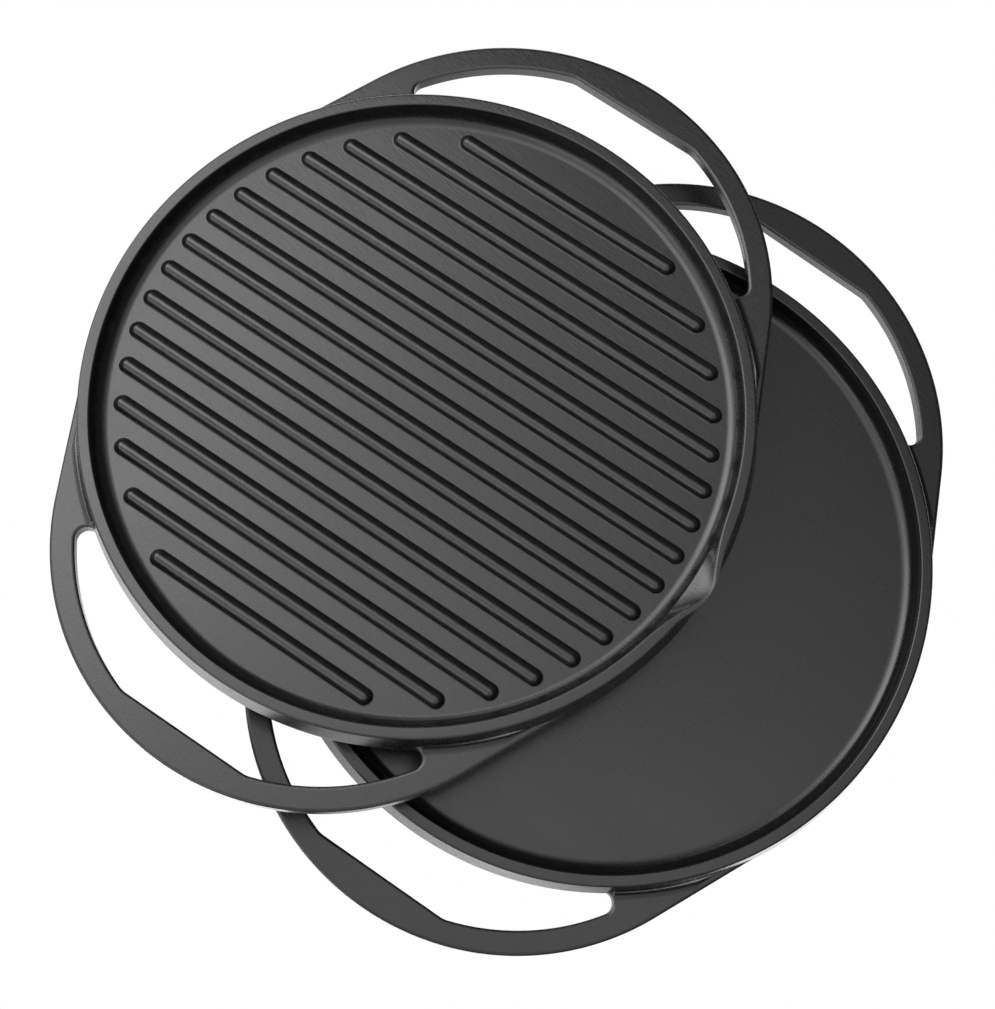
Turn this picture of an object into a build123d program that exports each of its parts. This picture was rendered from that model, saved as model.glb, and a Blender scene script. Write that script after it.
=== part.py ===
from build123d import *

import os
from math import asin, atan, cos, degrees, radians, sin, sqrt, tan

# A pair of reversible cast iron griddles. Each is one casting: a round pan with a rim on both
# faces, ribs and a pouring lip on one face, a flat cooking floor on the other, and two loop
# handles level with the web. One lies flat side up and the other leans on it, ribbed side up.
# X runs along the ribs, Y through the handles and Z up. Sizes are millimetres and degrees.

# The pan's web, rims and walls
web_thickness = 6.8
recess_depth = 9.05
rim_outer_radius = 140.0
rim_top_width = 4.6
outer_wall_draft = 9.1
inner_wall_draft = 10.6
floor_fillet = 5.5
fillet_facets = 2
rim_inner_bevel = 0.5
rim_outer_bevel = 0.4

# The ribs, as many rows as the floor has room for
rib_pitch = 14.9
rib_height = 3.0
rib_base_width = 6.8
rib_top_width = 5.2
rib_top_bevel = 1.4
rib_end_bevel = 2.0
rib_end_gap = 7.1

# The pouring lip in the ribbed side's rim, towards +X
lip_reach = 3.6
lip_tip_radius = 12.0
lip_flank_radius = 120.0
lip_edge_width = 0.8
lip_outer_tip_radius = 22.0
lip_outer_flank_radius = 25.0
scoop_depth = 5.0
scoop_slope = 28.0
scoop_overshoot = 1.0

# The loop handles, one each way along Y, with a finger gap between the pan's wall and the grip
finger_gap = 22.55
loop_outer_radius = 112.7
loop_bar_width = 10.1
grip_width = 14.7
grip_corner_radius = 12.0
slot_end_radius = 4.8
handle_edge_bevel = 1.0
handle_root_fillet = 2.3

# How far the handle plate reaches under the wall, and how deep the ribs are rooted
plate_root = 0.4
rib_root = 0.5

# The pair at rest
lean_offset = 96.0
rest_clearance = 0.3

# Levels and radii that follow from the sizes above
floor_height = web_thickness / 2
rim_height = floor_height + recess_depth
rim_inner_radius = rim_outer_radius - rim_top_width


def outer_wall_radius(height):
    """Radius of the pan's outer wall at a height above or below the middle plane."""
    return rim_outer_radius + (rim_height - abs(height)) * tan(radians(outer_wall_draft))


def inner_wall_radius(height):
    """Radius of the recess's wall at a height above or below the middle plane."""
    return rim_inner_radius - (rim_height - abs(height)) * tan(radians(inner_wall_draft))


def loop_centre():
    """Distance along Y from the pan's centre to the centre of a loop's arcs."""
    grip_outer = outer_wall_radius(floor_height) + finger_gap + grip_width
    return grip_outer - loop_outer_radius


def lip_corners(rim_radius, reach, tip_radius, flank_radius, inset=0.0):
    """Ends of the arcs of a lip that swells from a rim: flank, tip, flank, on the +Y side first.

    The flank arcs curve the other way and touch both the rim's circle and the tip's circle.
    An inset moves every arc inwards and keeps its centre.
    """
    tip_centre = Vector(rim_radius + reach - tip_radius, 0)
    rim_to_flank = rim_radius + flank_radius
    tip_to_flank = tip_radius + flank_radius
    flank_x = (rim_to_flank**2 - tip_to_flank**2 + tip_centre.X**2) / (2 * tip_centre.X)
    flank_centre = Vector(flank_x, sqrt(rim_to_flank**2 - flank_x**2))
    on_rim = flank_centre.normalized() * (rim_radius - inset)
    on_tip = tip_centre + (flank_centre - tip_centre).normalized() * (tip_radius - inset)
    towards_middle = ((on_rim + on_tip) * 0.5 - flank_centre).normalized()
    on_flank = flank_centre + towards_middle * (flank_radius + inset)
    tip = tip_centre + Vector(tip_radius - inset, 0)
    return on_rim, on_flank, on_tip, tip


def below_x(point):
    """The same point on the other side of the X axis."""
    return Vector(point.X, -point.Y)


def lip_arcs(corners):
    """Flank, tip and flank arcs through the corners that lip_corners gives."""
    on_rim, on_flank, on_tip, tip = corners
    return [
        ThreePointArc(on_rim, on_flank, on_tip),
        ThreePointArc(on_tip, tip, below_x(on_tip)),
        ThreePointArc(below_x(on_tip), below_x(on_flank), below_x(on_rim)),
    ]


def on_circle(point, radius):
    """The point of a circle about the pan's centre that lies in a point's direction."""
    return point.normalized() * radius


def upper_wall():
    """Solid disc from the middle plane to the ribbed side's rim, its wall swelling to the lip."""
    rim_corners = lip_corners(
        rim_outer_radius, lip_reach + lip_edge_width, lip_outer_tip_radius, lip_outer_flank_radius
    )
    parting_radius = outer_wall_radius(0)
    parting_corners = [on_circle(corner, parting_radius) for corner in rim_corners]
    outlines = []
    for corners, radius, height in (
        (parting_corners, parting_radius, 0),
        (rim_corners, rim_outer_radius, rim_height),
    ):
        back = ThreePointArc(below_x(corners[0]), Vector(-radius, 0), corners[0])
        outline = make_face([*lip_arcs(corners), back])
        outlines.append(Pos(0, 0, height) * outline)
    return loft(outlines, ruled=True)


def lower_wall():
    """Solid disc from the flat side's rim to the middle plane."""
    return Pos(0, 0, -rim_height / 2) * Cone(rim_outer_radius, outer_wall_radius(0), rim_height)


def recess():
    """Space between the floor and the rim's top, on the ribbed side, its floor's edge rounded."""
    wall_foot = Vector(inner_wall_radius(floor_height), floor_height)
    sweep = 90 - inner_wall_draft
    tangent_length = floor_fillet * tan(radians(sweep) / 2)
    centre = wall_foot + Vector(-tangent_length, floor_fillet)
    rounded = []
    for facet in range(fillet_facets + 1):
        turn = radians(sweep) * facet / fillet_facets
        rounded.append(centre + Vector(sin(turn), -cos(turn)) * floor_fillet)
    mouth = Vector(rim_inner_radius, rim_height)
    section = [Vector(0, floor_height), *rounded, mouth, Vector(0, rim_height)]
    outline = make_face(Polyline(*section, close=True))
    return revolve(Plane.XZ * outline, Axis.Z)


def inner_rim_edge(level):
    """Of the edges in a rim's top, the full circle round the recess's mouth."""
    return min((edge for edge in level if edge.is_closed), key=lambda edge: edge.radius)


def pan():
    """The round pan with both recesses and its rims' edges broken, without ribs or handles."""
    body = upper_wall() + lower_wall()
    levels = body.edges().group_by(Axis.Z)
    body = chamfer([*levels[0], *levels[-1]], rim_outer_bevel)
    body -= recess()
    body -= mirror(recess(), about=Plane.XY)
    levels = body.edges().group_by(Axis.Z)
    return chamfer([inner_rim_edge(levels[0]), inner_rim_edge(levels[-1])], rim_inner_bevel)


def handle_plate_outline():
    """Outline of the plate: the pan's circle and two loop arcs, joined by their common tangents."""
    pan_radius = outer_wall_radius(floor_height) - plate_root
    normal_y = (pan_radius - loop_outer_radius) / loop_centre()
    normal = Vector(sqrt(1 - normal_y**2), normal_y)
    on_pan = normal * pan_radius
    on_loop = Vector(0, loop_centre()) + normal * loop_outer_radius
    loop_top = Vector(0, loop_centre() + loop_outer_radius)
    tangent = Line(on_pan, on_loop)
    other_tangent = tangent.mirror(Plane.YZ)
    loop = [tangent, ThreePointArc(on_loop, loop_top, other_tangent @ 1), other_tangent]
    side = ThreePointArc(below_x(on_pan), Vector(pan_radius, 0), on_pan)
    return make_face([*loop, side, *[edge.mirror(Plane.XZ) for edge in loop], side.mirror(Plane.YZ)])


def handle_slot():
    """The finger slot of the +Y handle: a loop arc cut straight at the grip, up to the pan's wall."""
    grip_inner = loop_centre() + loop_outer_radius - grip_width
    slot_radius = loop_outer_radius - loop_bar_width
    pan_radius = outer_wall_radius(floor_height) - plate_root
    slot = Pos(0, loop_centre()) * Circle(slot_radius)
    slot &= Pos(0, grip_inner / 2) * Rectangle(2 * slot_radius, grip_inner)
    slot -= Circle(pan_radius)
    grip_corners = slot.vertices().group_by(Axis.Y)[-1]
    slot = fillet(grip_corners, grip_corner_radius)
    ends = slot.vertices().group_by(Axis.Y)[0]
    return fillet(ends, slot_end_radius)


def slotted_outline():
    """The plate's outline with both finger slots in it."""
    return handle_plate_outline() - handle_slot() - mirror(handle_slot(), about=Plane.XZ)


def handle_plate():
    """The flat plate that carries both loop handles, all its edges bevelled."""
    plate = Pos(0, 0, -floor_height) * extrude(slotted_outline(), web_thickness)
    levels = plate.edges().group_by(Axis.Z)
    return chamfer([*levels[0], *levels[-1]], handle_edge_bevel)


def handle_root():
    """Hollow fillet between the plate's upper face and the pan's wall, where the plate is there."""
    wall_lean = radians(outer_wall_draft)
    tangent_length = handle_root_fillet / tan(radians(90 + outer_wall_draft) / 2)
    corner = Vector(outer_wall_radius(floor_height), 0, floor_height)
    on_plate = corner + Vector(tangent_length, 0, 0)
    on_wall = corner + Vector(-sin(wall_lean), 0, cos(wall_lean)) * tangent_length
    centre = on_plate + Vector(0, 0, handle_root_fillet)
    middle = centre + (corner - centre).normalized() * handle_root_fillet
    inside = Vector(corner.X - plate_root, 0, floor_height - plate_root)
    section = make_face([
        ThreePointArc(on_plate, middle, on_wall),
        Line(on_wall, Vector(inside.X, 0, on_wall.Z)),
        Line(Vector(inside.X, 0, on_wall.Z), inside),
        Line(inside, Vector(on_plate.X, 0, inside.Z)),
        Line(Vector(on_plate.X, 0, inside.Z), on_plate),
    ])
    ring = revolve(section, Axis.Z)
    flat_area = offset(slotted_outline(), -handle_edge_bevel)
    return ring & extrude(flat_area, rim_height)


def rib(length):
    """One rib along X, a bead with bevelled crown and end corners, rooted in the floor."""
    side_slope = degrees(atan((rib_base_width - rib_top_width) / 2 / rib_height))
    foot = Rectangle(length, rib_base_width)
    foot = chamfer(foot.vertices(), rib_end_bevel)
    bar = extrude(foot, rib_height, taper=side_slope)
    crown = bar.faces().sort_by(Axis.Z)[-1]
    bar = chamfer(crown.edges(), rib_top_bevel)
    root = extrude(foot, -rib_root)
    return Pos(0, 0, floor_height) * (bar + root)


def ribs():
    """Every rib, at both sides of the middle, each as long as the recess's floor allows."""
    end_centre_radius = inner_wall_radius(floor_height) - rib_end_gap - rib_base_width / 2
    bars = []
    row = rib_pitch / 2
    while row < end_centre_radius:
        length = 2 * sqrt(end_centre_radius**2 - row**2) + rib_base_width
        bars.append(Pos(0, row, 0) * rib(length))
        bars.append(Pos(0, -row, 0) * rib(length))
        row += rib_pitch
    return bars


def scoop():
    """The hollow of the pouring lip, sloping down from the lip's edge to the recess."""
    outlines = []
    slope = tan(radians(scoop_slope))
    for depth in (-scoop_overshoot, scoop_depth):
        corners = lip_corners(
            rim_inner_radius, rim_top_width + lip_reach, lip_tip_radius, lip_flank_radius,
            depth / slope,
        )
        back = Line(below_x(corners[0]), corners[0])
        outline = make_face([*lip_arcs(corners), back])
        outlines.append(Pos(0, 0, rim_height - depth) * outline)
    return loft(outlines, ruled=True)


def griddle():
    """One whole casting, ribbed side up, with the middle of its web at the origin."""
    casting = pan() + handle_plate()
    casting += handle_root()
    casting += mirror(handle_root(), about=Plane.XY)
    casting += ribs()
    casting -= scoop()
    return casting


def lean_angle():
    """Tilt of the leaning griddle, whose web rests on the near edge of the lower one's rim."""
    return degrees(asin(recess_depth / (rim_outer_radius + rim_crossing())))


def rim_crossing():
    """Where the two rims first cross, along X from the lower griddle's centre."""
    return (rim_inner_radius**2 - rim_outer_radius**2 - lean_offset**2) / (2 * lean_offset)


def lower_place():
    """Turned over about its handles, flat side up, standing on the rim of its ribbed side."""
    return Pos(0, 0, rim_height) * Rot(0, 180, 0)


def upper_place():
    """Ribbed side up, tipped about the line where the rims cross, a clearance above the lower one."""
    crossing = rim_crossing()
    pivot = Pos(crossing, 0, 2 * rim_height + rest_clearance)
    return pivot * Rot(0, -lean_angle(), 0) * Pos(-lean_offset - crossing, 0, rim_height)


def centred(shapes):
    """Both griddles moved so that the origin is under the middle of the pair, on the floor."""
    box = Compound(shapes).bounding_box()
    middle = box.center()
    return [Pos(-middle.X, -middle.Y, -box.min.Z) * shape for shape in shapes]


def main():
    os.makedirs("parts", exist_ok=True)
    casting = griddle()
    lower, upper = centred([lower_place() * casting, upper_place() * casting])
    export_step(lower, "parts/flat_side_up_griddle.step")
    export_step(upper, "parts/ribbed_side_up_griddle.step")


main()
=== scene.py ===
from math import asin, atan2, cos, pi, radians, sin, sqrt, tan

import bmesh
import bpy
from mathutils import Matrix, Quaternion, Vector


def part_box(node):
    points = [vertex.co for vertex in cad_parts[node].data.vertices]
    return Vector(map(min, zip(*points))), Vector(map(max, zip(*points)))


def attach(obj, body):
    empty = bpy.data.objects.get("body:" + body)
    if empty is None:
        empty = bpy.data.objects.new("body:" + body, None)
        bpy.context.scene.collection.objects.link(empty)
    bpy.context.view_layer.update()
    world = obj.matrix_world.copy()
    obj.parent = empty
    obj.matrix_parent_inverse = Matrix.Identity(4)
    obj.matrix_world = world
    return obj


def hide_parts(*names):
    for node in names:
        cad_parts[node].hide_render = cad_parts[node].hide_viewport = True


# Two reversible cast iron griddles, one flat side up and one leaning on it ribbed side up.
# Both are the same casting, modelled ribbed side up with the middle of its web at the origin,
# X along the ribs and Y through the handles, and then moved to its place.
# Sizes are in metres, and drafts, tilts and turns are in degrees.

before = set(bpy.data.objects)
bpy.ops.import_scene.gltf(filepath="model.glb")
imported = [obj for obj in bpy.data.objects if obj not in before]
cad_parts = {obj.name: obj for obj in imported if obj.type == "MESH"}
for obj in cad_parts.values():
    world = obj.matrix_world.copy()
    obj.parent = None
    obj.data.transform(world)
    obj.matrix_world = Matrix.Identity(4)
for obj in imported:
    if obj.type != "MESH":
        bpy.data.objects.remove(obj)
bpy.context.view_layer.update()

# The pan's web, rims and walls
web_thickness = 0.0068
recess_depth = 0.00905
rim_outer_radius = 0.140
rim_top_width = 0.0050
outer_wall_draft = 9.1
inner_wall_draft = 10.6
floor_fillet = 0.0060
rim_inner_round = 0.0009
rim_outer_round = 0.0013
rim_outer_drop = 0.0004
parting_round = 0.005

# The ribs
rib_pitch = 0.0149
rib_rows = 8
rib_height = 0.003
rib_base_width = 0.0068
rib_foot_fillet = 0.0008
rib_end_gap = 0.0071
rib_root = 0.0005

# The pouring lip: its swell in the outer wall, its mouth in the recess's wall and its scoop
lip_half_angle = 16
lip_reach = 0.0040
lip_outer_tip_radius = 0.022
lip_outer_flank_radius = 0.025
lip_edge_width = 0.0012
lip_tip_radius = 0.012
lip_flank_radius = 0.120
lip_edge_round_share = 0.45
scoop_depth = 0.0036
scoop_side_blend = 0.004
scoop_hollow = 0.4

# The loop handles
finger_gap = 0.02255
loop_outer_radius = 0.1127
loop_bar_width = 0.0101
grip_width = 0.0147
grip_corner_radius = 0.012
slot_end_radius = 0.0048
handle_edge_round = 0.0023
edge_tilt = 40
plate_root = 0.0004
root_depth = 0.0045

# The coves where the handles leave the wall
handle_root_fillet = 0.0040
cove_sink = 0.0003
cove_least_share = 0.02

# The pair at rest, as the CAD solids lie, whose rims are a little narrower
lean_offset = 0.096
rest_clearance = 0.0003
rim_seat_width = 0.0046

# How finely the curved surfaces are divided, and where shading breaks
ring_steps = 264
lip_steps = 64
scoop_first_ring = 0.0012
scoop_ring_gap = 0.0003
scoop_ring_count = 10
floor_fillet_segments = 8
rim_round_segments = 4
parting_segments = 3
rib_crown_steps = 12
rib_foot_steps = 5
rib_end_steps = 20
handle_edge_steps = 5
cove_hollow_steps = 8
cove_length_steps = 110
sharp_angle = 38

# Places nearer to each other than this count as one
near = 1e-6

# The finish
lay_angle = 8.0

# The floor and the light, where a brightness or a glow of 1 looks plain white
floor_half_width = 6.0
floor_gap = 0.0003
floor_glow = 3.3
floor_shadow_reach = 0.2
floor_shadow_power = 2.0
world_glow = 0.08
white_softbox_watts = 4

# Levels and radii that follow from the sizes above
floor_height = web_thickness / 2
rim_height = floor_height + recess_depth
rim_inner_radius = rim_outer_radius - rim_top_width


def outer_wall_radius(height):
    """Radius of the pan's outer wall at a height above or below the middle plane."""
    return rim_outer_radius + (rim_height - abs(height)) * tan(radians(outer_wall_draft))


def inner_wall_radius(height):
    """Radius of the recess's wall at a height above or below the middle plane."""
    return rim_inner_radius - (rim_height - abs(height)) * tan(radians(inner_wall_draft))


rim_drop_height = rim_height - rim_outer_drop
rim_outer_edge = outer_wall_radius(rim_drop_height) - rim_outer_drop / tan(radians(edge_tilt))
floor_radius = inner_wall_radius(floor_height)
wall_foot = outer_wall_radius(floor_height)
pan_radius = wall_foot - plate_root
slot_radius = loop_outer_radius - loop_bar_width
loop_centre = wall_foot + finger_gap + grip_width - loop_outer_radius
grip_inner = loop_centre + loop_outer_radius - grip_width
pan_middle = Vector((0, 0))
loop_middle = Vector((0, loop_centre))
handle_edge_reach = handle_edge_round * sin(radians(edge_tilt))
cove_reach = handle_root_fillet / tan((radians(90) + radians(outer_wall_draft)) / 2)


# Short ways to draw and finish a mesh

def draw_line(mesh, places):
    """Adds a line through places to a mesh, and gives its corners and edges."""
    corners = [mesh.verts.new(place) for place in places]
    return corners + [mesh.edges.new(pair) for pair in zip(corners[:-1], corners[1:])]


def spin(mesh, geometry, middle, angle, steps):
    """Sweeps geometry round the upright line through a middle, and gives the last copy of it."""
    swept = bmesh.ops.spin(
        mesh, geom=geometry, cent=middle, axis=(0, 0, 1), angle=angle, steps=steps
    )
    return swept["geom_last"]


def mirror_along(mesh, axis):
    """Adds a mesh's mirror image along an axis, joined to it where the two meet."""
    everything = [*mesh.verts, *mesh.edges, *mesh.faces]
    bmesh.ops.mirror(mesh, geom=everything, axis=axis, merge_dist=near)


def mesh_data(name, mesh):
    """Turns a finished mesh into Blender's mesh data, and frees it."""
    data = bpy.data.meshes.new(name)
    mesh.to_mesh(data)
    mesh.free()
    return data


def add_mesh(target, part):
    """Adds a part's mesh to the target mesh, and frees it."""
    data = mesh_data("part", part)
    target.from_mesh(data)
    bpy.data.meshes.remove(data)


def add_object(name, data):
    """Puts a mesh, a light or a camera in the scene."""
    added = bpy.data.objects.new(name, data)
    bpy.context.scene.collection.objects.link(added)
    return added


# The pan

def pan_section():
    """Corners of half the pan's section, from the middle of its ribbed side to its flat side's."""
    scoop_top = rim_height - scoop_first_ring
    scoop_rings = [scoop_top - scoop_ring_gap * step for step in range(scoop_ring_count)]
    return [
        (0, floor_height),
        (floor_radius, floor_height),
        *[(inner_wall_radius(height), height) for height in reversed(scoop_rings)],
        (rim_inner_radius, rim_height),
        (rim_outer_edge, rim_height),
        (outer_wall_radius(rim_drop_height), rim_drop_height),
        (outer_wall_radius(0), 0),
        (outer_wall_radius(rim_drop_height), -rim_drop_height),
        (rim_outer_edge, -rim_height),
        (rim_inner_radius, -rim_height),
        (floor_radius, -floor_height),
        (0, -floor_height),
    ]


def ring_edges(mesh, radius, height):
    """The edges of the ring of a spun mesh at a radius and height."""

    def on_ring(vertex):
        off_radius = abs(vertex.co.xy.length - radius)
        return off_radius < near and abs(vertex.co.z - height) < near

    return [edge for edge in mesh.edges if all(on_ring(vertex) for vertex in edge.verts)]


def round_ring(mesh, radius, height, fillet, turn, segments):
    """Rounds a ring of a spun mesh whose faces meet at a turn, with a fillet of a radius."""
    bmesh.ops.bevel(
        mesh, geom=ring_edges(mesh, radius, height), affect="EDGES", segments=segments,
        offset=fillet * tan(radians(turn) / 2), offset_type="OFFSET", profile=0.5, material=-1,
    )


def lip_radius(angle, rim_radius, reach, tip_radius, flank_radius):
    """Distance from the pan's axis to a lip's outline, at an angle from the lip's middle."""
    tip_x = rim_radius + reach - tip_radius
    rim_to_flank = rim_radius + flank_radius
    tip_to_flank = tip_radius + flank_radius
    flank_x = (rim_to_flank**2 - tip_to_flank**2 + tip_x**2) / (2 * tip_x)
    flank = Vector((flank_x, sqrt(rim_to_flank**2 - flank_x**2)))
    on_tip = Vector((tip_x, 0)) + (flank - Vector((tip_x, 0))) * tip_radius / tip_to_flank
    turn = abs(angle)
    ray = Vector((cos(turn), sin(turn)))
    if turn < atan2(on_tip.y, on_tip.x):
        along = tip_x * ray.x
        return along + sqrt(along**2 - tip_x**2 + tip_radius**2)
    if turn < atan2(flank.y, flank.x):
        along = flank.dot(ray)
        return along - sqrt(along**2 - flank.length_squared + flank_radius**2)
    return rim_radius


def lip_walls(angle, height):
    """Radii of the recess's wall and the outer wall round the lip, at an angle and a height."""
    rim = lip_radius(
        angle, rim_outer_radius, lip_reach, lip_outer_tip_radius, lip_outer_flank_radius
    )
    outer = outer_wall_radius(height) + (rim - rim_outer_radius) * height / rim_height
    mouth_reach = rim_top_width + lip_reach - lip_edge_width
    mouth = lip_radius(angle, rim_inner_radius, mouth_reach, lip_tip_radius, lip_flank_radius)
    swell = mouth - rim_inner_radius
    depth = min(max((rim_height - height) / scoop_depth, 0.0), 1.0)
    curve = 1 + scoop_hollow * min(swell / scoop_side_blend, 1.0)
    inner = inner_wall_radius(height) + swell * (1 - depth**curve)
    return inner, outer


def swell_to_lip(mesh):
    """Moves the ribbed side's wall and rim outwards round the lip, and hollows the scoop in it."""
    round_width = rim_inner_round * tan(radians(90 - inner_wall_draft) / 2)
    for vertex in mesh.verts:
        radius = vertex.co.xy.length
        height = vertex.co.z
        angle = atan2(vertex.co.y, vertex.co.x)
        inner = inner_wall_radius(height)
        outer = outer_wall_radius(height)
        beside_lip = height > 0 and abs(angle) <= radians(lip_half_angle)
        if not beside_lip or radius < inner - near:
            continue
        new_inner, new_outer = lip_walls(angle, height)
        new_round = min(round_width, lip_edge_round_share * (new_outer - new_inner))
        if radius - inner < round_width:
            new_radius = new_inner + (radius - inner) * new_round / round_width
        else:
            share = (radius - inner - round_width) / (outer - inner - round_width)
            new_radius = new_inner + new_round + share * (new_outer - new_inner - new_round)
        vertex.co.xy *= new_radius / radius


def pan():
    """The round pan with both recesses, rounded rims and the pouring lip, as a closed mesh."""
    mesh = bmesh.new()
    lip_angle = 2 * radians(lip_half_angle)
    turn = Matrix.Rotation(lip_angle / 2, 3, "Z")
    section = [turn @ Vector((radius, 0, height)) for radius, height in pan_section()]
    line = draw_line(mesh, section)
    beside_lip = spin(mesh, line, (0, 0, 0), 2 * pi - lip_angle, ring_steps)
    spin(mesh, beside_lip, (0, 0, 0), lip_angle, lip_steps)
    bmesh.ops.remove_doubles(mesh, verts=mesh.verts, dist=near)
    wall_turn = 90 - inner_wall_draft
    for side in (1, -1):
        floor = side * floor_height
        rim = side * rim_height
        round_ring(mesh, floor_radius, floor, floor_fillet, wall_turn, floor_fillet_segments)
        round_ring(mesh, rim_inner_radius, rim, rim_inner_round, wall_turn, rim_round_segments)
        round_ring(mesh, rim_outer_edge, rim, rim_outer_round, edge_tilt, rim_round_segments)
    parting_turn = 2 * outer_wall_draft
    round_ring(mesh, outer_wall_radius(0), 0, parting_round, parting_turn, parting_segments)
    swell_to_lip(mesh)
    bmesh.ops.recalc_face_normals(mesh, faces=mesh.faces)
    return mesh


# The ribs

def rib_section():
    """Half of a rib's section from its crown to the floor: a half-round bead and its foot fillet."""
    half_base = rib_base_width / 2
    bead_radius = (half_base**2 + rib_height**2) / (2 * rib_height)
    bead = Vector((0, floor_height + rib_height - bead_radius))
    reach = bead_radius + rib_foot_fillet
    fillet_height = floor_height + rib_foot_fillet
    fillet = Vector((sqrt(reach**2 - (fillet_height - bead.y)**2), fillet_height))
    join_angle = (fillet - bead).angle(Vector((0, 1)))
    crown = [
        bead + Matrix.Rotation(-join_angle * step / rib_crown_steps, 2) @ Vector((0, bead_radius))
        for step in range(rib_crown_steps)
    ]
    foot = [
        fillet + Matrix.Rotation(-join_angle * step / rib_foot_steps, 2) @ Vector((0, -rib_foot_fillet))
        for step in range(rib_foot_steps, -1, -1)
    ]
    return [*crown, *foot, Vector((fillet.x, floor_height - rib_root))]


def rib(length):
    """One rib along X: a half-round bead with round ends and a small fillet at its foot."""
    mesh = bmesh.new()
    end = (length - rib_base_width) / 2
    line = draw_line(mesh, [(end, -point.x, point.y) for point in rib_section()])
    spin(mesh, line, (end, 0, 0), pi, rib_end_steps)
    bmesh.ops.remove_doubles(mesh, verts=mesh.verts, dist=near)

    def at_end(edge):
        return all(abs(vertex.co.x - end) < near for vertex in edge.verts)

    sides = [edge for edge in mesh.edges if edge.is_boundary and at_end(edge)]
    drawn = bmesh.ops.extrude_edge_only(mesh, edges=sides)["geom"]
    for item in drawn:
        if isinstance(item, bmesh.types.BMVert):
            item.co.x = 0
    mirror_along(mesh, "X")
    foot = [edge for edge in mesh.edges if edge.is_boundary]
    bmesh.ops.edgeloop_fill(mesh, edges=foot)
    bmesh.ops.recalc_face_normals(mesh, faces=mesh.faces)
    return mesh


def ribs():
    """Every rib of the pan, each as long as the recess's round floor allows."""
    mesh = bmesh.new()
    end_radius = floor_radius - rib_end_gap - rib_base_width / 2
    for number in range(rib_rows):
        row = rib_pitch * (number + 0.5)
        length = 2 * sqrt(end_radius**2 - row**2) + rib_base_width
        for side in (1, -1):
            one_rib = rib(length)
            one_rib.transform(Matrix.Translation((0, side * row, 0)))
            add_mesh(mesh, one_rib)
    return mesh


# The loop handles

def arc(centre, start, end, steps):
    """Points on the shorter arc about a centre, from start to just before end."""
    first = start - centre
    turn = first.angle_signed(end - centre)
    return [centre + Matrix.Rotation(-turn * step / steps, 2) @ first for step in range(steps)]


def flank_normal():
    """Direction from the pan's middle in which a loop's straight flank touches the pan."""
    lean = (pan_radius - loop_outer_radius) / loop_centre
    return Vector((sqrt(1 - lean**2), lean))


def slot_end_centre():
    """Centre of the round end of the +Y finger slot on the +X side."""
    reach = pan_radius + slot_end_radius
    inside = slot_radius - slot_end_radius
    end_y = (reach**2 - inside**2 + loop_centre**2) / (2 * loop_centre)
    return Vector((sqrt(reach**2 - end_y**2), end_y))


def handle_outer_edge():
    """Outer edge of the +X half of the +Y handle, from its root in the wall to its grip's middle."""
    normal = flank_normal()
    root_start = Vector((0, pan_radius - root_depth))
    root_end = normal * (pan_radius - root_depth)
    on_loop = loop_middle + normal * loop_outer_radius
    loop_top = Vector((0, loop_centre + loop_outer_radius))
    return [
        *arc(pan_middle, root_start, root_end, steps=24),
        root_end,
        normal * pan_radius,
        *arc(loop_middle, on_loop, loop_top, steps=48),
        loop_top,
    ]


def slot_edge():
    """Edge of the +X half of the +Y finger slot, from the grip's middle to the wall's."""
    grip_middle = Vector((0, grip_inner))
    wall_middle = Vector((0, pan_radius))
    slot_end = slot_end_centre()
    end_on_pan = slot_end.normalized() * pan_radius
    end_on_loop = loop_middle + (slot_end - loop_middle).normalized() * slot_radius
    corner_rise = grip_inner - grip_corner_radius - loop_centre
    corner_reach = slot_radius - grip_corner_radius
    corner = loop_middle + Vector((sqrt(corner_reach**2 - corner_rise**2), corner_rise))
    corner_on_loop = loop_middle + (corner - loop_middle) * slot_radius / corner_reach
    corner_on_grip = Vector((corner.x, grip_inner))
    return [
        grip_middle,
        *arc(corner, corner_on_grip, corner_on_loop, steps=12),
        *arc(loop_middle, corner_on_loop, end_on_loop, steps=20),
        *arc(slot_end, end_on_loop, end_on_pan, steps=14),
        *arc(pan_middle, end_on_pan, wall_middle, steps=20),
        wall_middle,
    ]


def round_edge(mesh, caps):
    """Rounds the edge of a plate's upper face in steps, from the edge's tilt to level."""
    for step in range(handle_edge_steps, 0, -1):
        outer_tilt = radians(edge_tilt) * step / handle_edge_steps
        inner_tilt = radians(edge_tilt) * (step - 1) / handle_edge_steps
        bmesh.ops.inset_region(
            mesh, faces=caps, use_even_offset=True, use_boundary=True,
            thickness=handle_edge_round * (sin(outer_tilt) - sin(inner_tilt)),
            depth=handle_edge_round * (cos(inner_tilt) - cos(outer_tilt)),
        )


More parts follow.
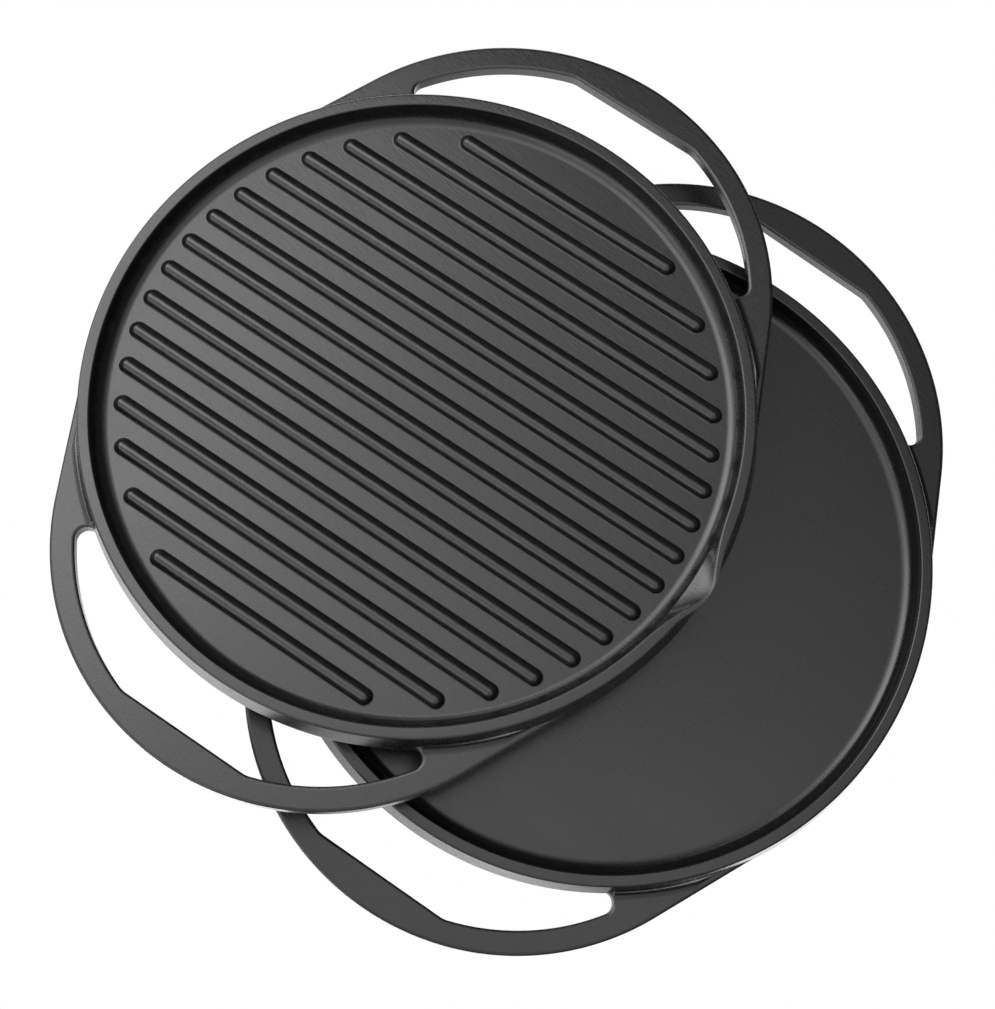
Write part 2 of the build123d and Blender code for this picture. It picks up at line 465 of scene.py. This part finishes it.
def handle_loops():
    """Both loop handles: flat plates that start inside the wall, slightly rounded to their edges."""
    mesh = bmesh.new()
    outline = handle_outer_edge() + slot_edge()
    mesh.faces.new([mesh.verts.new((point.x, point.y, 0)) for point in outline])
    mirror_along(mesh, "X")
    raised = bmesh.ops.extrude_face_region(mesh, geom=list(mesh.faces))["geom"]
    corners = [item for item in raised if isinstance(item, bmesh.types.BMVert)]
    caps = [item for item in raised if isinstance(item, bmesh.types.BMFace)]
    edge_drop = handle_edge_round * (1 - cos(radians(edge_tilt)))
    bmesh.ops.translate(mesh, verts=corners, vec=(0, 0, floor_height - edge_drop))
    bmesh.ops.recalc_face_normals(mesh, faces=mesh.faces)
    round_edge(mesh, caps)

    def in_middle_plane(face):
        return all(abs(vertex.co.z) < near for vertex in face.verts)

    hidden = [face for face in mesh.faces if in_middle_plane(face)]
    bmesh.ops.delete(mesh, geom=hidden, context="FACES")
    mirror_along(mesh, "Z")
    mirror_along(mesh, "Y")
    bmesh.ops.recalc_face_normals(mesh, faces=mesh.faces)
    return mesh


# The coves where the handles leave the wall

def plate_edge_radius(angle):
    """Distance from the pan's middle to the plate's edge, from a loop's flank to its finger slot."""
    slot_end = slot_end_centre()
    turn = angle - atan2(slot_end.y, slot_end.x)
    if turn >= 0:
        return pan_radius
    normal = flank_normal()
    on_flank = pan_radius / cos(angle - atan2(normal.y, normal.x))
    across = abs(slot_end.length * sin(turn))
    if across >= slot_end_radius:
        return on_flank
    on_slot = slot_end.length * cos(turn) - sqrt(slot_end_radius**2 - across**2)
    return min(on_flank, on_slot)


def cove_section():
    """Section of a cove at its widest: its hollow from plate to wall, and its root in the iron."""
    lean = radians(outer_wall_draft)
    on_plate = Vector((wall_foot + cove_reach, 0, floor_height))
    on_wall = Vector((wall_foot - cove_reach * sin(lean), 0, floor_height + cove_reach * cos(lean)))
    centre = on_plate + Vector((0, 0, handle_root_fillet))
    sweep = (on_plate - centre).angle(on_wall - centre)
    hollow = [
        centre + Matrix.Rotation(sweep * step / cove_hollow_steps, 3, "Y") @ (on_plate - centre)
        for step in range(cove_hollow_steps + 1)
    ]
    inside = Vector((wall_foot - 2 * plate_root, 0, floor_height - plate_root))
    behind_wall = Vector((inside.x - plate_root, 0, on_wall.z))
    below_plate = Vector((on_plate.x, 0, inside.z))
    return [*hollow, behind_wall, inside, below_plate]


def narrow_to_plate(mesh):
    """Draws a cove in towards the wall's foot where the plate is too narrow for it."""
    for vertex in mesh.verts:
        radius = vertex.co.xy.length
        height = vertex.co.z
        if radius <= wall_foot and height <= floor_height:
            continue
        angle = atan2(vertex.co.y, vertex.co.x)
        room = plate_edge_radius(angle) - handle_edge_reach - wall_foot
        share = min(max(room / cove_reach, cove_least_share), 1.0)
        new_radius = wall_foot - cove_sink + (radius - wall_foot + cove_sink) * share
        vertex.co.xy *= new_radius / radius
        vertex.co.z = floor_height - cove_sink + (height - floor_height + cove_sink) * share


def root_cove():
    """Hollow fillet between the plate's upper face and the wall, beside one end of one slot."""
    mesh = bmesh.new()
    normal = flank_normal()
    slot_end = slot_end_centre()
    first_angle = atan2(normal.y, normal.x)
    last_angle = atan2(slot_end.y, slot_end.x)
    face = mesh.faces.new([mesh.verts.new(point) for point in cove_section()])
    bmesh.ops.transform(mesh, matrix=Matrix.Rotation(first_angle, 4, "Z"), verts=mesh.verts)
    section = [face, *face.edges, *face.verts]
    spin(mesh, section, (0, 0, 0), last_angle - first_angle, cove_length_steps)
    narrow_to_plate(mesh)
    bmesh.ops.recalc_face_normals(mesh, faces=mesh.faces)
    return mesh


def root_coves():
    """The coves at both ends of both slots, on both faces of the plate."""
    mesh = root_cove()
    for axis in "XYZ":
        mirror_along(mesh, axis)
    bmesh.ops.recalc_face_normals(mesh, faces=mesh.faces)
    return mesh


# The whole casting, and its two places

def casting():
    """One whole griddle, ribbed side up, with the middle of its web at the origin."""
    mesh = pan()
    add_mesh(mesh, ribs())
    add_mesh(mesh, handle_loops())
    add_mesh(mesh, root_coves())
    for edge in mesh.edges:
        edge.smooth = edge.calc_face_angle(0) < radians(sharp_angle)
    return mesh


def rim_crossing():
    """Where the two rims first cross, along X from the lower griddle's centre."""
    seat_radius = rim_outer_radius - rim_seat_width
    return (seat_radius**2 - rim_outer_radius**2 - lean_offset**2) / (2 * lean_offset)


def lower_place():
    """Turned over about its handles, flat side up, standing on the rim of its ribbed side."""
    node_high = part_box("flat_side_up_griddle")[1]
    centre_x = node_high.x - outer_wall_radius(0)
    return Matrix.Translation((centre_x, 0, rim_height)) @ Matrix.Rotation(pi, 4, "Y")


def upper_place():
    """Ribbed side up, tipped about the line where the rims cross, a clearance above the lower one."""
    centre_x = lower_place().translation.x
    crossing = rim_crossing()
    lean = asin(recess_depth / (rim_outer_radius + crossing))
    pivot = Matrix.Translation((centre_x + crossing, 0, 2 * rim_height + rest_clearance))
    arm = Matrix.Translation((-lean_offset - crossing, 0, rim_height))
    return pivot @ Matrix.Rotation(-lean, 4, "Y") @ arm


def make_piece(name, mesh, body, node, material):
    """An object from a mesh, smooth shaded, that rides a body and stands for a CAD node."""
    piece = add_object(name, mesh_data(name, mesh))
    piece.data.materials.append(material)
    piece.data.shade_smooth()
    keep_flats = piece.modifiers.new("keep_flats", "WEIGHTED_NORMAL")
    keep_flats.keep_sharp = True
    keep_flats.weight = 100
    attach(piece, body)
    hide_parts(node)


def griddles():
    """Both castings in their places, each riding its body and standing for its CAD node."""
    places = {
        "flat_side_up_griddle": ("lying_griddle", lower_place()),
        "ribbed_side_up_griddle": ("leaning_griddle", upper_place()),
    }
    for node, (body, place) in places.items():
        mesh = casting()
        mesh.transform(place)
        make_piece(node + "_casting", mesh, body, node, cast_iron(node + "_iron"))


# The materials

def grey(level):
    """An opaque grey, from 0, black, to 1, white."""
    return (level, level, level, 1)


def set_inputs(node, values):
    """Sets the inputs of a node, each given by its name or number."""
    for key, value in values.items():
        node.inputs[key].default_value = value


def node_tools(tree):
    """Short ways to add a node to a tree, with its inputs and settings, and to join two sockets."""

    def add(kind, inputs=None, **settings):
        node = tree.nodes.new(kind)
        for name, value in settings.items():
            setattr(node, name, value)
        set_inputs(node, inputs or {})
        return node

    return add, tree.links.new


def new_material(name):
    """A material that uses nodes, and its node tree."""
    material = bpy.data.materials.new(name)
    material.use_nodes = True
    return material, material.node_tree


def cast_iron(name):
    """Dark cast iron with short fine lay lines, a little off the ribs' direction, and a cast grain."""
    material, tree = new_material(name)
    add, join = node_tools(tree)
    shader = tree.nodes["Principled BSDF"]
    set_inputs(shader, {"Metallic": 0.0, "IOR": 1.5})
    place = add("ShaderNodeTexCoord")
    turned = add("ShaderNodeMapping", {"Rotation": (0, 0, radians(lay_angle))})
    join(place.outputs["Object"], turned.inputs["Vector"])

    def noise(scale, stretch, detail):
        stretched = add("ShaderNodeMapping", {"Scale": stretch})
        join(turned.outputs["Vector"], stretched.inputs["Vector"])
        texture = add("ShaderNodeTexNoise", {"Scale": scale, "Detail": detail, "Roughness": 0.5})
        join(stretched.outputs["Vector"], texture.inputs["Vector"])
        return texture.outputs["Fac"]

    def ramp(source, dark, light):
        spread = {"From Min": 0.3, "From Max": 0.7, "To Min": dark, "To Max": light}
        node = add("ShaderNodeMapRange", spread)
        join(source, node.inputs["Value"])
        return node.outputs["Result"]

    lay_lines = noise(scale=1500, stretch=(0.14, 1.0, 0.25), detail=2)
    grain = noise(scale=1400, stretch=(1, 1, 1), detail=2)
    clouds = noise(scale=40, stretch=(0.6, 1, 1), detail=3)
    tone = add("ShaderNodeMixRGB", {"Color1": grey(0.004), "Color2": grey(0.008)}, blend_type="MIX")
    join(ramp(lay_lines, dark=0, light=1), tone.inputs["Fac"])
    join(tone.outputs["Color"], shader.inputs["Base Color"])
    roughness = add("ShaderNodeMath", operation="ADD")
    join(ramp(lay_lines, dark=0.22, light=0.28), roughness.inputs[0])
    join(ramp(clouds, dark=-0.03, light=0.03), roughness.inputs[1])
    join(roughness.outputs[0], shader.inputs["Roughness"])
    lay_to_grain = 3.0
    relief = add("ShaderNodeMath", {1: lay_to_grain}, operation="MULTIPLY_ADD")
    join(lay_lines, relief.inputs[0])
    join(grain, relief.inputs[2])
    bump = add("ShaderNodeBump", {"Strength": 0.13, "Distance": 0.00012})
    join(relief.outputs[0], bump.inputs["Height"])
    join(bump.outputs["Normal"], shader.inputs["Normal"])
    return material


def white_to_camera(tree, lit, white, surface):
    """Shows the camera a plain white shader, and all other rays a lit one."""
    add, join = node_tools(tree)
    ray = add("ShaderNodeLightPath")
    either = add("ShaderNodeMixShader")
    join(ray.outputs["Is Camera Ray"], either.inputs["Fac"])
    join(lit, either.inputs[1])
    join(white, either.inputs[2])
    join(either.outputs["Shader"], surface)


def floor_white():
    """White to look at. The iron reflects it as brighter than white, and dark under the griddles."""
    material, tree = new_material("floor_white")
    add, join = node_tools(tree)
    shader = tree.nodes["Principled BSDF"]
    set_inputs(shader, {
        "Base Color": grey(0.5), "Roughness": 1.0, "Specular IOR Level": 0.0,
        "Emission Color": grey(1),
    })
    openness = add("ShaderNodeAmbientOcclusion", {"Distance": floor_shadow_reach}, samples=4)
    ramped = add("ShaderNodeMath", {1: floor_shadow_power}, operation="POWER")
    join(openness.outputs["AO"], ramped.inputs[0])
    glow = add("ShaderNodeMath", {1: floor_glow}, operation="MULTIPLY")
    join(ramped.outputs[0], glow.inputs[0])
    join(glow.outputs[0], shader.inputs["Emission Strength"])
    white = add("ShaderNodeEmission")
    surface = tree.nodes["Material Output"].inputs["Surface"]
    white_to_camera(tree, shader.outputs["BSDF"], white.outputs["Emission"], surface)
    return material


# The floor, the light and the camera

def pale_floor():
    """A large white floor round the griddles, just under them."""
    mesh = bmesh.new()
    bmesh.ops.create_grid(mesh, x_segments=1, y_segments=1, size=floor_half_width)
    bmesh.ops.translate(mesh, verts=mesh.verts, vec=(0, 0, -floor_gap))
    floor = add_object("floor", mesh_data("floor", mesh))
    floor.data.materials.append(floor_white())


def surroundings():
    """A world that is white to look at and dim to light or reflect in, as a dark studio is."""
    world = bpy.data.worlds.new("studio")
    world.use_nodes = True
    tree = world.node_tree
    dim = tree.nodes["Background"]
    set_inputs(dim, {"Color": grey(1), "Strength": world_glow})
    white = tree.nodes.new("ShaderNodeBackground")
    set_inputs(white, {"Color": grey(1)})
    surface = tree.nodes["World Output"].inputs["Surface"]
    white_to_camera(tree, dim.outputs["Background"], white.outputs["Background"], surface)
    bpy.context.scene.world = world


def softbox(name, middle, width, depth, height, brightness):
    """A level rectangular soft light facing down, over a middle given in X and Y.

    Its power is what a white one has on a square metre, times its area and its brightness.
    """
    light = bpy.data.lights.new(name, "AREA")
    light.shape = "RECTANGLE"
    light.size = width
    light.size_y = depth
    light.energy = white_softbox_watts * width * depth * brightness
    add_object(name, light).location = (*middle, height)


def studio_light():
    """Level softboxes at heights of their own: bright on the left, softer in front, above and behind."""
    softbox("left_softbox", (-1.5, 0.15), width=1.9, depth=1.0, height=1.30, brightness=2.7)
    softbox("rear_softbox", (-1.0, 0.3), width=3.1, depth=0.6, height=1.31, brightness=0.8)
    softbox("front_softbox", (-0.75, -2.05), width=1.5, depth=2.0, height=1.32, brightness=1.1)
    softbox("overhead_softbox", (0.1, -0.8), width=2.6, depth=2.0, height=1.33, brightness=0.75)
    softbox("narrow_softbox", (-0.4, -0.5), width=0.3, depth=2.2, height=1.34, brightness=0.75)
    softbox("far_left_softbox", (-4.1, -1.8), width=6.0, depth=7.5, height=1.35, brightness=1.25)
    softbox("rear_grips_softbox", (-0.25, 0.9), width=1.0, depth=0.4, height=1.36, brightness=0.45)
    softbox("front_grips_softbox", (0.05, -0.2), width=0.5, depth=0.3, height=1.37, brightness=0.5)


def photo_camera():
    """The camera at the photograph's angle, distance and roll, aimed near the pair's middle."""
    elevation = radians(76.165)
    azimuth = radians(10.395)
    roll = radians(24.52)
    distance = 0.9321
    aim = Vector((-0.00115, -0.00517, 0))
    data = bpy.data.cameras.new("photo_camera")
    data.sensor_width = 36
    data.lens = 77.18
    data.clip_start = 0.01
    data.clip_end = 50
    camera = add_object("photo_camera", data)
    back = Vector((sin(azimuth) * cos(elevation), -cos(azimuth) * cos(elevation), sin(elevation)))
    camera.location = aim + back * distance
    camera.rotation_mode = "QUATERNION"
    camera.rotation_quaternion = (-back).to_track_quat("-Z", "Y") @ Quaternion((0, 0, 1), roll)
    bpy.context.scene.camera = camera


griddles()
pale_floor()
surroundings()
studio_light()
photo_camera()
bpy.context.scene.view_settings.view_transform = "Standard"
